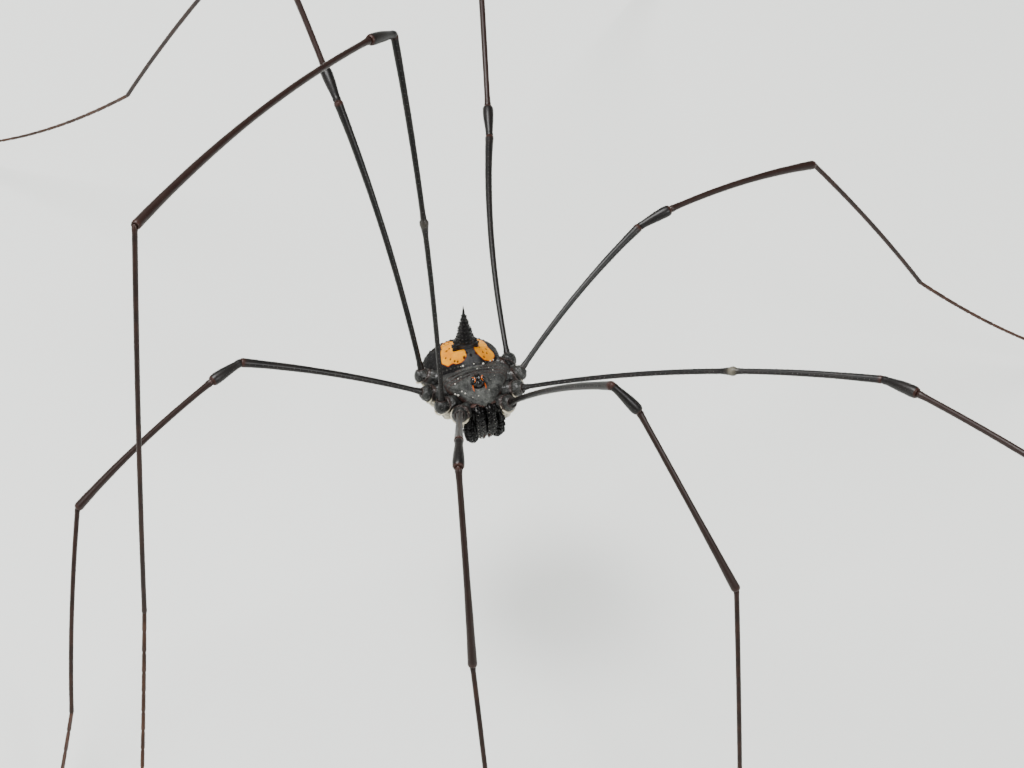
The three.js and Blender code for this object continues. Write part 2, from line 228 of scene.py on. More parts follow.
def shell_finish(name, dark, light, roughness, coat, grain_size, depth, specular):
    """Hard shell: two close tones in blotches, fine grains, brown rims and pale specks."""
    finish = Finish(name, roughness=roughness, coat=coat, specular=specular)
    place = finish.place()
    blotch = finish.grain(place, 1.1, 3)
    fine = finish.grain(place, grain_size, 4, 0.65)
    colour = finish.mix(finish.step(blotch, 0.35, 0.7), dark, light)
    colour = finish.mix(finish.step(fine, 0.62, 0.8) * 0.35, colour, tuple(min(1, c * 3) for c in light))
    colour = finish.tint(colour, grey=(0.045, 0.045, 0.046), warm=(0.040, 0.012, 0.007),
                         cream=(0.62, 0.56, 0.42), pale=(0.36, 0.34, 0.30))
    bump = finish.bump(fine, depth, 0.6)
    finish.set(Base_Color=colour, Roughness=roughness - 0.06 + fine * 0.14, Normal=bump)
    return finish.material


def eye_mound_finish():
    finish = Finish("eye_mound", roughness=0.12, coat=0.0, specular=0.4)
    place = finish.place()
    fine = finish.grain(place, 14, 3)
    colour = finish.mix(finish.step(fine, 0.55, 0.8) * 0.4, (0.004, 0.0035, 0.0035), (0.03, 0.028, 0.026))
    colour = finish.tint(colour, orange=(0.42, 0.075, 0.004))
    finish.set(Base_Color=colour, Roughness=0.08 + fine * 0.16, Normal=finish.bump(fine, 0.02, 0.5))
    return finish.material


def lens_finish():
    finish = Finish("eye_lens", roughness=0.04, coat=0.0, specular=0.5)
    place = finish.place()
    black = finish.mix(finish.grain(place, 5, 2), (0.001, 0.001, 0.001), (0.005, 0.0045, 0.0045))
    finish.set(Base_Color=finish.tint(black, orange=(0.46, 0.09, 0.004)))
    return finish.material


# Two tones, roughness, coat, size of the grains, depth of the grains and gloss
SHELLS = {
    "spine": ((0.0025, 0.002, 0.002), (0.007, 0.0065, 0.0065), 0.30, 0.0, 10, 0.02, 0.2),
    "coxa": ((0.006, 0.006, 0.0057), (0.026, 0.0264, 0.0244), 0.34, 0.04, 12, 0.03, 0.3),
    "leg_black": ((0.0028, 0.0022, 0.002), (0.0075, 0.0055, 0.0046), 0.42, 0.05, 16, 0.012, 0.25),
    "leg_brown": ((0.012, 0.0045, 0.003), (0.026, 0.010, 0.006), 0.44, 0.05, 16, 0.010, 0.25),
    "tarsus": ((0.026, 0.010, 0.005), (0.055, 0.022, 0.011), 0.45, 0.08, 18, 0.008, 0.3),
    "mouthparts": ((0.0012, 0.001, 0.001), (0.0035, 0.0032, 0.003), 0.24, 0.0, 13, 0.02, 0.15),
}
MATERIALS = {
    "carapace": carapace_finish(),
    "scutum": scutum_finish(),
    **{slot: shell_finish(slot, *looks) for slot, looks in SHELLS.items()},
    "eye_mound": eye_mound_finish(),
    "eye": lens_finish(),
}


# Shapes

# The mark for pits also carries painted shade on the front shield.
MARKS = ("pale", "warm", "cream", "orange", "patch", "pit", "grey")


def new_shape():
    shape = bmesh.new()
    for mark in MARKS:
        shape.verts.layers.float.new(mark)
    return shape


def layers_of(shape, *marks):
    return [shape.verts.layers.float[mark] for mark in marks]


def add_ball(shape, around, down, radius=1.0):
    return bmesh.ops.create_uvsphere(shape, u_segments=around, v_segments=down, radius=radius)["verts"]


def rough_at(place, scale, octaves=4, gain=0.8):
    return noise.fractal(place * scale, gain, 2.0, octaves)


def paint(shape, verts, mark, amount=1.0):
    layer = shape.verts.layers.float[mark]
    for vert in verts:
        vert[layer] = amount


def frame_at(centre, along, across, width, height):
    along = along.normalized()
    side = (across - along * across.dot(along)).normalized()
    rise = along.cross(side)
    turn = Matrix((side * width, rise * height, along * max(width, height))).transposed().to_4x4()
    return Matrix.Translation(centre) @ turn


def sweep(shape, stops, sides, across, mark=None, amount=1.0):
    """A closed tube through stops of (centre, direction, width, height), grown ring by ring."""
    ring = bmesh.ops.create_circle(shape, cap_ends=True, segments=sides, radius=1.0)["verts"]
    edges = list({edge for vert in ring for edge in vert.link_edges})
    rings = []
    before = Matrix.Identity(4)
    for n, (centre, along, width, height) in enumerate(stops):
        here = frame_at(centre, along, across, width, height)
        if n:
            grown = bmesh.ops.extrude_edge_only(shape, edges=edges)["geom"]
            ring = [part for part in grown if isinstance(part, bmesh.types.BMVert)]
            kept = set(ring)
            edges = [part for part in grown if isinstance(part, bmesh.types.BMEdge)
                     and part.verts[0] in kept and part.verts[1] in kept]
        bmesh.ops.transform(shape, matrix=here @ before.inverted(), verts=ring)
        before = here
        rings.append(ring)
    bmesh.ops.edgeloop_fill(shape, edges=edges)
    if mark:
        for ring in rings:
            paint(shape, ring, mark, amount)
    return rings


def small_shape(kind, **sizes):
    """A tiny mesh that is set down many times by scatter."""
    shape = new_shape()
    getattr(bmesh.ops, kind)(shape, **sizes)
    mesh = bpy.data.meshes.new("small_shape")
    return shape, mesh


def scatter(shape, template, places, mark=None, amount=1.0):
    """Sets a small shape down at each place, a matrix, as part of a larger one."""
    source, mesh = template
    if mark:
        paint(source, source.verts, mark, amount)
    source.to_mesh(mesh)
    for place in places:
        mesh.transform(place)
        shape.from_mesh(mesh)
        mesh.transform(place.inverted())
    if mark:
        paint(source, source.verts, mark, 0.0)


def round_about(along, across, angle):
    """The direction away from a line at an angle round it, counted from across."""
    side = (across - along * across.dot(along)).normalized()
    return side * math.cos(angle) + side.cross(along) * math.sin(angle)


def upright(point, normal, width, height, lean=None):
    """Where a grain stands: its foot at point, its tip along normal, leaning a little."""
    along = normal if lean is None else normal + lean
    turn = along.normalized().to_track_quat("Z", "Y").to_matrix().to_4x4()
    return Matrix.Translation(point) @ turn @ Matrix.Diagonal((width, width, height, 1))


CONE = small_shape("create_cone", cap_ends=True, segments=6, radius1=1.0, radius2=0.12, depth=1.0)
BEAD = small_shape("create_icosphere", subdivisions=1, radius=1.0)
HAIR = small_shape("create_cone", cap_ends=True, segments=3, radius1=1.0, radius2=0.1, depth=1.0)
for grain, _ in (CONE, HAIR):
    bmesh.ops.translate(grain, vec=(0, 0, 0.4), verts=grain.verts)


def put_in_scene(name, data):
    made = bpy.data.objects.new(name, data)
    bpy.context.scene.collection.objects.link(made)
    return made


def finish_piece(shape, name, slot, *nodes):
    bmesh.ops.recalc_face_normals(shape, faces=shape.faces)
    bmesh.ops.transform(shape, matrix=TO_FRAME, verts=shape.verts)
    mesh = bpy.data.meshes.new(name)
    shape.to_mesh(mesh)
    shape.free()
    mesh.shade_smooth()
    mesh.materials.append(MATERIALS[slot])
    piece = put_in_scene(name, mesh)
    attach(piece, "root")
    if nodes:
        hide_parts(*nodes)


def heading(turn, rise):
    t, r = math.radians(turn), math.radians(rise)
    return Vector((math.sin(t) * math.cos(r), -math.cos(t) * math.cos(r), math.sin(r)))


def smooth(value, low, high):
    t = min(max((value - low) / (high - low), 0.0), 1.0)
    return t * t * (3 - 2 * t)


def hump(value, middle, spread):
    return math.exp(-((value - middle) / spread) ** 2)


# Legs

def bend(start, middle, end, t):
    return start * (1 - t) ** 2 + middle * 2 * t * (1 - t) + end * t * t


def bend_along(start, middle, end, t):
    return ((middle - start) * (1 - t) + (end - middle) * t).normalized()


class Segment:
    """The middle line of a leg segment: a gentle bow from one joint to the next."""

    def __init__(self, start, direction, length, lift, sway):
        self.length = length
        self.across = direction.cross(UP).normalized()
        rising = self.across.cross(direction)
        self.end = start + direction * length
        middle = start.lerp(self.end, 0.5) + rising * 2 * lift + self.across * 2 * sway
        self.stops = (start, middle, self.end)

    def at(self, distance):
        return bend(*self.stops, distance / self.length)

    def along(self, distance):
        return bend_along(*self.stops, distance / self.length)


class Landing:
    """The middle line of the last segment: down to the floor, then out along it."""

    PARTS = 100

    def __init__(self, start, turn, drop, length, lift):
        level = heading(turn, 0)
        self.across = level.cross(UP).normalized()
        floor = FLOOR + lift
        fall = start.z - floor
        reach = fall / math.tan(math.radians(-drop))
        self.length, self.level = length, level
        knee = Vector((start.x + level.x * reach, start.y + level.y * reach, floor))
        self.stops = (start, knee, knee + level * 0.6 * math.hypot(fall, reach))
        self.sizes = [0.0]
        for n in range(1, self.PARTS + 1):
            part = bend(*self.stops, n / self.PARTS) - bend(*self.stops, (n - 1) / self.PARTS)
            self.sizes.append(self.sizes[-1] + part.length)

    def share(self, distance):
        n = 0
        while n < self.PARTS - 1 and self.sizes[n + 1] < distance:
            n += 1
        return (n + (distance - self.sizes[n]) / (self.sizes[n + 1] - self.sizes[n])) / self.PARTS

    def at(self, distance):
        if distance >= self.sizes[-1]:
            return self.stops[2] + self.level * (distance - self.sizes[-1])
        if distance > 0:
            return bend(*self.stops, self.share(distance))
        return self.stops[0] + self.along(0) * distance

    def along(self, distance):
        if distance >= self.sizes[-1]:
            return self.level
        return bend_along(*self.stops, self.share(max(distance, 0.0)))


def between(profile, distance):
    """Radius at a distance along a profile of (distance, radius) pairs."""
    for (d0, r0), (d1, r1) in zip(profile, profile[1:]):
        if distance <= d1:
            return r0 + (r1 - r0) * smooth(distance, d0, d1) if d1 > d0 else r1
    return profile[-1][1]


def profile_of(kind, length, name):
    """How thick a segment is, from inside the joint before it to its flared rim."""
    slim = 0.86 if name[1] == "2" else 1.0
    if kind == "femur":
        shaft = [(0.28, 0.15), (0.42, 0.225), (0.56, 0.215), (1.0, 0.175 * slim), (length * 0.3, 0.19 * slim)]
        if name in NODULES:
            middle = length * NODULES[name][0]
            shaft += [(middle - 0.8, 0.175), (middle - 0.28, 0.235), (middle - 0.05, 0.29),
                      (middle + 0.12, 0.29), (middle + 0.3, 0.20), (middle + 0.8, 0.175)]
        else:
            shaft += [(length * 0.55, 0.205)]
        return shaft + [(length * 0.85, 0.24 * slim), (length - 0.5, 0.275 * slim),
                        (length - 0.14, 0.30 * slim), (length, 0.27 * slim)]
    if kind == "patella":
        return [(-0.22, 0.14), (-0.04, 0.235), (0.16, 0.265), (0.34, 0.25), (0.8, 0.29), (1.35, 0.345),
                (length - 0.45, 0.375), (length - 0.16, 0.36), (length - 0.04, 0.31), (length, 0.26)]
    if kind == "tibia":
        return [(-0.16, 0.12), (0.0, 0.2), (0.16, 0.24), (0.34, 0.215), (0.9, 0.195), (length * 0.5, 0.205),
                (length * 0.82, 0.25), (length - 0.5, 0.29), (length - 0.14, 0.30), (length, 0.25)]
    return [(-0.14, 0.1), (0.0, 0.16), (0.16, 0.185), (0.34, 0.165), (length * 0.5, 0.155),
            (length - 0.6, 0.15), (length - 0.1, 0.165), (length, 0.14)]


def distances(profile, spacing):
    """Every distance of a profile, with evenly spaced ones between them."""
    found = []
    for (d0, _), (d1, _) in zip(profile, profile[1:]):
        steps = max(1, min(round((d1 - d0) / spacing), 40)) + (1 if d1 - d0 > 0.08 else 0)
        found += [d0 + (d1 - d0) * n / steps for n in range(steps)]
    return found + [profile[-1][0]]


def grow_segment(shape, name, kind, joint, sides):
    """A leg segment from a joint onward, with a cup in its end for the next one."""
    length = LENGTHS[int(name[1])][kind]
    line = Segment(joint, heading(*POSE[name][kind]), length, BOW[kind] * length, SWAY.get((name, kind), 0))
    profile = profile_of(kind, length, name)
    last, rim = profile[-1]
    sizes = [(distance, between(profile, distance)) for distance in distances(profile, 0.9)]
    sizes += [(last - 0.03, rim * 0.78), (last - 0.12, rim * 0.5)]
    stops = [(line.at(distance), line.along(distance), radius, radius) for distance, radius in sizes]
    return line, profile, sweep(shape, stops, sides, line.across)


# What stands on each segment: its shape, the bare lengths at the segment's ends, spacing, rows, width,
# height, lean and paint
COVERS = {
    "femur": (CONE, 0.7, 0.4, 0.36, 6, 0.026, 0.06, 0.6, "pale", 0.2),
    "patella": (CONE, 0.5, 0.3, 0.28, 6, 0.02, 0.04, 0.6, "pale", 0.12),
    "tibia": (HAIR, 0.6, 0.3, 0.42, 4, 0.009, 0.13, 1.4, "warm", 0.6),
    "metatarsus": (HAIR, 0.5, 0.2, 0.36, 4, 0.008, 0.14, 1.4, "warm", 0.4),
    "tarsus": (HAIR, 0.3, 0.2, 0.4, 5, 0.007, 0.11, 1.2, "warm", 0.5),
}


def cover(shape, kind, line, profile, rng):
    """Sets the rows of denticles or hairs on a segment."""
    template, first, last, spacing, rows, width, height, lean, mark, amount = COVERS[kind]
    places = []
    distance = first
    while distance < line.length - last:
        for row in range(rows):
            at = distance + rng.uniform(-0.3, 0.3) * spacing
            angle = 2 * math.pi * (row + 0.5 + rng.uniform(-0.12, 0.12)) / rows
            along = line.along(at)
            normal = round_about(along, line.across, angle)
            foot = line.at(at) + normal * between(profile, at) * 0.96
            scale = rng.uniform(0.75, 1.2)
            if foot.z + height * scale >= FLOOR + 0.04:
                places.append(upright(foot, normal, width * scale, height * scale, along * lean))
        distance += spacing
    scatter(shape, template, places, mark, amount)


def hoop(shape, centre, normal, radius, thickness, steps=36):
    """A ring round a normal, as thick at each turn as thickness says for the direction there."""
    across = normal.orthogonal().normalized()
    rise = normal.cross(across)
    stops = []
    for n in range(steps + 1):
        angle = 2 * math.pi * n / steps
        way = across * math.cos(angle) + rise * math.sin(angle)
        thick = thickness(way)
        stops.append((centre + way * radius, normal.cross(way), thick, thick))
    return [vert for ring in sweep(shape, stops, 10, normal) for vert in ring]


def side_of(name):
    return -1 if name[0] == "r" else 1


def build_hip(name, joint, femur):
    """Coxa and trochanter: a ribbed lobe, pale below, and the ball in its end that carries the leg."""
    rng = random.Random(name + "hip")
    pair, side = int(name[1]), side_of(name)
    root = Vector((side * COXA_ROOTS[pair][0], COXA_ROOTS[pair][1], -COXA_DROP))
    out = (joint - root).normalized()
    length = (joint - root).length
    across = out.cross(UP).normalized()
    shape = new_shape()
    cream, warm = layers_of(shape, "cream", "warm")
    lobe = [(0, 0.3), (0.12, 0.44), (length * 0.35, 0.57), (length * 0.6, 0.60), (length - 0.45, 0.57),
            (length - 0.22, 0.55), (length - 0.14, 0.50)]
    stops = []
    for distance in distances(lobe, 0.05) + [length - 0.16]:
        radius = between(lobe, distance)
        deep = 0.42 * smooth(distance, 0.0, 0.5) * smooth(length - distance, 0.15, 0.6)
        stops.append((root + out * distance - UP * 0.6 * deep * radius, out, radius, radius * (1 + deep)))
    # The end is turned in round the ball
    stops[-1] = (stops[-1][0], out, 0.40, 0.40)
    sweep(shape, stops, 48, across)
    for vert in shape.verts:
        offset = vert.co - root
        distance = offset.dot(out)
        normal = (offset - out * distance).normalized()
        turn = math.atan2(normal.dot(out.cross(across)), normal.dot(across))
        rib = math.cos(9 * turn) * smooth(distance, 0.1, 0.5) * smooth(length - distance, 0.2, 0.5)
        rough = rough_at(vert.co, 4.5, gain=1.0)
        vert.co += normal * (0.075 * rough + 0.022 * rib)
        below = smooth(-normal.z + 0.3 * rough, 0.05, 0.45)
        vert[cream] = below * (0.35 + 0.5 * smooth(rib, -0.5, 0.4))
        vert[warm] = 0.3 * smooth(distance, length - 0.36, length - 0.24) * (1 - below)
    facing = (femur * 1.2 + out).normalized()
    rim_size = 0.052 if pair == 1 else 0.0364
    rim = hoop(shape, joint - facing * 0.14, facing, 0.57,
               lambda way: 0.03 + rim_size * smooth(-way.z, -0.25, 0.55))
    for vert in rim:
        low = smooth(joint.z + 0.18 - vert.co.z, 0.0, 0.3)
        vert[cream] = low
        vert[warm] = 0.3 * (1 - low)
    ball = add_ball(shape, 48, 32, KNOB)
    for vert in ball:
        ahead = vert.co.dot(out)
        vert.co += out * ahead * 0.06
        rough = rough_at(vert.co + joint, 4.5, gain=1.0)
        vert.co *= 1 + 0.09 * rough
        socket = smooth(vert.co.normalized().dot(femur), 0.78, 0.90)
        vert.co -= femur * 0.07 * socket
        vert.co += joint
    paint(shape, hoop(shape, joint + femur * 0.40, femur, 0.30, lambda way: 0.045, 30), "warm", 0.25)

    def grain(point, normal):
        return upright(point, normal, rng.uniform(0.016, 0.03), rng.uniform(0.03, 0.055))

    places = []
    for _ in range(200):
        way = Vector((rng.gauss(0, 1), rng.gauss(0, 1), rng.gauss(0, 1))).normalized()
        if way.dot(femur) < 0.7 and way.dot(out) > -0.3:
            places.append(grain(joint + way * KNOB, way))
        distance = rng.uniform(0.3, length - 0.4)
        angle = rng.uniform(0, 2 * math.pi)
        normal = across * math.cos(angle) + across.cross(out) * math.sin(angle)
        places.append(grain(root + out * distance + normal * between(lobe, distance), normal))
    scatter(shape, CONE, places, "pale", 0.22)
    finish_piece(shape, f"hip_{name}", "coxa", f"leg_{name}_coxa")


def build_leg(name):
    rng = random.Random(name)
    pair, side = int(name[1]), side_of(name)
    pose = POSE[name]
    shift = HIP_SHIFTS.get(name, (0, 0))
    joint = Vector((side * HIPS[pair][0] + shift[0], HIPS[pair][1] + shift[1], 0))
    build_hip(name, joint, heading(*pose["femur"]))
    shape = new_shape()
    cream = shape.verts.layers.float["cream"]
    for kind in KINDS[:3]:
        line, profile, rings = grow_segment(shape, name, kind, joint, 14)
        for ring in rings:
            paint(shape, ring, "warm", 0.28 if kind == "tibia" else 0.0)
        for ring in rings[-5:] + rings[:3]:
            paint(shape, ring, "warm", 0.6)
        if name in NODULES and kind == "femur":
            share, paleness = NODULES[name]
            middle = line.at(line.length * share)
            for vert in (vert for ring in rings for vert in ring):
                vert[cream] = paleness * hump((vert.co - middle).length, 0.26, 0.08)
        cover(shape, kind, line, profile, rng)
        joint = line.end
    nodes = [f"leg_{name}_{kind}" for kind in KINDS[:3]]
    finish_piece(shape, f"leg_{name}", "leg_black", *nodes)

    shape = new_shape()
    line, profile, _ = grow_segment(shape, name, "metatarsus", joint, 12)
    cover(shape, "metatarsus", line, profile, rng)
    finish_piece(shape, f"shin_{name}", "leg_brown", f"leg_{name}_metatarsus")

    shape = new_shape()
    length = LENGTHS[pair]["tarsus"]
    line = Landing(line.end, pose["metatarsus"][0], pose["drop"], length, FOOT_RADIUS)
    stops = []
    distance = -0.1
    while distance < length - 0.05:
        thick = FOOT_RADIUS - 0.075 * max(distance, 0) / length
        step = 1.3 - 0.85 * max(distance, 0) / length
        for share, swell in ((0.0, 0.80), (0.12, 0.98), (0.6, 1.0), (0.9, 1.06)):
            at = distance + step * share
            stops.append((line.at(at), line.along(at), thick * swell, thick * swell))
        distance += step
    tip = line.at(distance)
    stops.append((tip, line.along(distance), 0.05, 0.05))
    sweep(shape, stops, 10, line.across)
    # Claw, bent down to the floor
    ahead = line.along(distance)
    claw = []
    for n in range(7):
        t = n / 6
        centre = tip + ahead * 0.2 * math.sin(t * 1.5) + UP * (0.03 * math.sin(t * 3.0) - 0.05 * t)
        radius = 0.032 * (1 - t) + 0.006
        centre.z = max(centre.z, FLOOR + radius)
        claw.append((centre, ahead - UP * t, radius, radius))
    sweep(shape, claw, 8, line.across, "warm", 0.8)
    cover(shape, "tarsus", line, [(0, 0.13), (length, 0.06)], rng)
    for vert in shape.verts:
        vert.co.z = max(vert.co.z, FLOOR)
    finish_piece(shape, f"foot_{name}", "tarsus", f"leg_{name}_tarsus")


# Body

CARAPACE_CENTRE = Vector((0.13, -0.15, 0.05))
CARAPACE_RADII = (2.36, 1.75, 0.95)
CARAPACE_FRONT_Y = -1.6
CARAPACE_FRONT_HALF = 0.78
CARAPACE_SLOPE = 0.71
ABDOMEN_CENTRE = Vector((-0.2, 2.7, -0.75))
ABDOMEN_HALF_WIDTH = 2.53
PEAK_Y = 2.0
SPINE_FOOT = Vector((0, 2.2, 1.4))
SPINE_TIP = Vector((0.06, 2.8, 4.62))
MOUND_CENTRE = Vector((0, -0.5, 1.0))
MOUND_RADII = (0.42, 0.45, 0.62)
PATCHES = (((-1.06, 2.24), (0.62, 0.78)), ((-0.60, 1.66), (0.48, 0.38)), ((-0.86, 3.0), (0.44, 0.85)),
           ((1.10, 1.90), (0.64, 0.58)), ((1.16, 2.60), (0.34, 0.85)))
REDDISH_PITS = ((-1.15, 2.55, 0.07), (-0.95, 2.62, 0.06), (-1.12, 1.76, 0.05), (-0.92, 1.50, 0.05),
                (-0.30, 1.42, 0.08), (-0.75, 1.38, 0.05), (-1.35, 2.05, 0.05), (0.52, 1.56, 0.08),
                (1.02, 1.76, 0.05), (1.28, 1.78, 0.05), (1.0, 1.46, 0.05), (1.32, 2.12, 0.05),
                (0.85, 2.05, 0.04))
GREY_PITS = ((0.02, 1.96, 0.08), (-0.10, 1.62, 0.075), (0.16, 1.46, 0.07), (-0.26, 1.44, 0.05))
# Where the folds of the front shield are, how deep, and how far they reach to each side
FRONT_FOLDS = ((0.20, 0.045, 1.0), (0.46, 0.075, 1.4), (0.74, 0.085, 1.6))
# Pale grains as (x, y, size): a cluster beside the eye mound and a few on the folds, then those behind
FRONT_GRAINS = ((-1.46, -0.40, 6), (-1.31, -0.62, 6), (-1.06, -0.58, 4), (-0.91, -0.80, 4), (-1.36, -0.52, 3),
                (-1.32, 0.05, 4), (-1.05, 0.30, 3), (-0.84, 0.34, 2), (0.30, 0.64, 3), (1.05, 0.62, 2),
                (-0.55, -1.25, 2), (0.55, -1.1, 2), (-0.2, -1.35, 2), (1.25, 0.4, 2), (0.9, -0.35, 1),
                (1.2, -0.1, 1))
BACK_RIDGES = (3.2, 3.6, 3.95, 4.2)
BACK_GRAINS = ((-0.50, 1.08, 5), (0.82, 1.10, 6), (1.36, 1.34, 3), (-0.62, 1.10, 2), (1.6, 1.5, 3),
               (0.2, 1.04, 2))


def blunted(share, power):
    return math.sqrt(max(1 - abs(share) ** power, 1e-6) / max(1 - share * share, 1e-6))


def carapace_point(direction):
    """The front shield: a low dome whose sides run straight from a narrow front out to the waist."""
    ux, uy, uz = direction
    half_width, half_length, height = CARAPACE_RADII
    y = CARAPACE_CENTRE.y + half_length * uy
    sloping = CARAPACE_FRONT_HALF + CARAPACE_SLOPE * (y - CARAPACE_FRONT_Y)
    x = CARAPACE_CENTRE.x + ux * blunted(uy, 6) * min(sloping, half_width)
    z = CARAPACE_CENTRE.z + height * uz
    if uz < -0.1:
        return Vector((x, y, z))
    top = smooth(uz, -0.1, 0.25)
    half = max(min(sloping, half_width), 0.2)
    side = abs(x) / half
    # Shallow dishes beside the eyes, the swellings over the hips, and the pinched front corners
    z -= 0.10 * hump(side, 0.60, 0.14) * hump(y, -0.45, 0.45) * top
    z += 0.09 * hump(side, 0.86, 0.13) * (hump(y, -0.85, 0.26) + hump(y, 0.1, 0.34)) * top
    z -= 0.09 * hump(side, 0.80, 0.22) * (hump(y, -0.42, 0.10) + hump(y, -1.2, 0.09)) * top
    z += 0.05 * hump(x, 0, 0.5) * hump(y, -1.25, 0.3)
    z -= 0.12 * hump(abs(x), 0.36, 0.10) * hump(y, -1.28, 0.22)
    z += 0.05 * hump(math.hypot(x, y + 0.48), 0.62, 0.12) * smooth(y, -1.1, -0.3)
    arc = y + 0.05 * x * x
    for middle, depth, reach in FRONT_FOLDS:
        z -= depth * 1.4 * hump(arc, middle, 0.045) * smooth(reach - abs(x), -0.2, 0.4)
        z += depth * 0.8 * hump(arc, middle + 0.11, 0.06) * smooth(reach - abs(x), -0.2, 0.4)
    return Vector((x, y, z))


def abdomen_point(direction):
    """The back shield: blunt in front, drawn up to a peak under the spine, falling away behind."""
    ux, uy, uz = direction
    blunt = blunted(uy, 2.8) if uy < 0 else 1.0
    x = ABDOMEN_CENTRE.x + ux * blunt * ABDOMEN_HALF_WIDTH
    y = ABDOMEN_CENTRE.y + uy * (2.4 if uy < 0 else 1.75)
    along = (y - PEAK_Y) / (1.4 if y < PEAK_Y else 1.1)
    peak = min(uz * 3, 1) * math.exp(-(x / 1.5) ** 2 - along ** 2) if uz > 0 else 0
    return Vector((x, y, ABDOMEN_CENTRE.z + uz * blunt * (1.4 if uz > 0 else 1.1) + peak))


def patch_at(x, y, wobble=0.0):
    """How far inside the orange patches a place is, 0 outside and 1 inside."""
    deepest = 0.0
    for (cx, cy), (rx, ry) in PATCHES:
        away = math.hypot((x - cx) / rx, (y - cy) / ry)
        deepest = max(deepest, smooth(1.08 + wobble - away, 0.0, 0.16))
    return deepest


def pits_at(x, y, pits):
    return max(smooth(1 - math.hypot(x - px, y - py) / (size * 1.5), 0.0, 0.55) for px, py, size in pits)


def on_top(tree, x, y):
    point, normal, _, _ = tree.ray_cast(Vector((x, y, 6)), Vector((0, 0, -1)))
    return point, normal


def stand_on(tree, x, y, size, steepest=-1.0):
    """One grain on top of a shield, or none where it is too steep; size gives width and height."""
    point, normal = on_top(tree, x, y)
    if point is None or normal.z < steepest:
        return []
    return [upright(point, normal, *size())]


def build_carapace():
    shape = new_shape()
    add_ball(shape, 220, 140)
    warm, cream, grey, dark = layers_of(shape, "warm", "cream", "grey", "pit")
    for vert in shape.verts:
        direction = vert.co.copy()
        point = carapace_point(direction)
        rough = rough_at(point, 5.5, 5)
        around = math.atan2(abs(point.x) - 1.45, point.y + 0.25)
        swirl = math.sin(9 * math.hypot(abs(point.x) - 1.45, point.y + 0.25) * 2 + 2 * rough)
        wrinkle = 0.028 * swirl * hump(abs(point.x), 1.45, 0.5) * hump(point.y, -0.25, 0.7)
        top = smooth(direction.z, -0.1, 0.3)
        point += direction * (0.030 * rough + (wrinkle + 0.01 * math.sin(around * 3)) * top)
        vert.co = point
        arc = point.y + 0.05 * point.x * point.x
        lines = max(hump(arc, middle, 0.035) for middle, _, _ in FRONT_FOLDS)
        vert[warm] = lines * (0.45 + 0.5 * smooth(rough, -0.1, 0.2)) * top
        # Painted shade: darker over the back towards the waist folds and in the hollows at the front sides.
        hollow_shade = hump(abs(point.x), 1.2, 0.3) * smooth(-arc, 0.5, 1.0)
        vert[dark] = 0.75 * smooth(arc + 0.5 * rough, 0.0, 0.3) + 0.5 * hollow_shade
        vert[warm] = max(vert[warm], 0.8 * smooth(-direction.z, -0.30, -0.05))
        vert[grey] = 0.7 * hump(point.x, 0, 0.55) * hump(point.y, -1.2, 0.35) + 0.45 * smooth(rough, 0.1, 0.5)
        vert[cream] = 0.6 * smooth(-direction.z + 0.3 * rough, 0.4, 0.7)
    tree = BVHTree.FromBMesh(shape)
    rng = random.Random("carapace")
    places = []
    for _ in range(900):
        x, y = rng.uniform(-2.1, 2.1), rng.uniform(-1.8, 0.85)
        if math.hypot(x, y + 0.48) >= 0.48:
            places += stand_on(tree, x, y, lambda: (rng.uniform(0.016, 0.034), rng.uniform(0.02, 0.04)), 0.25)
    scatter(shape, BEAD, places, "pale", 0.07)
    places = []
    for x, y, size in FRONT_GRAINS:
        places += stand_on(tree, x, y, lambda: (0.016 + 0.010 * size, 0.016 + 0.010 * size))
    scatter(shape, BEAD, places, "pale", 1.0)
    # The brown lip over the jaws
    lip = add_ball(shape, 40, 24)
    for vert in lip:
        vert.co = Vector((0.82 * vert.co.x, -1.62 + 0.26 * vert.co.y, 0.12 + 0.2 * vert.co.z))
        vert.co += 0.03 * vert.co.normalized() * rough_at(vert.co, 7, 3)
    paint(shape, lip, "warm", 0.9)
    finish_piece(shape, "carapace", "carapace", "prosoma")


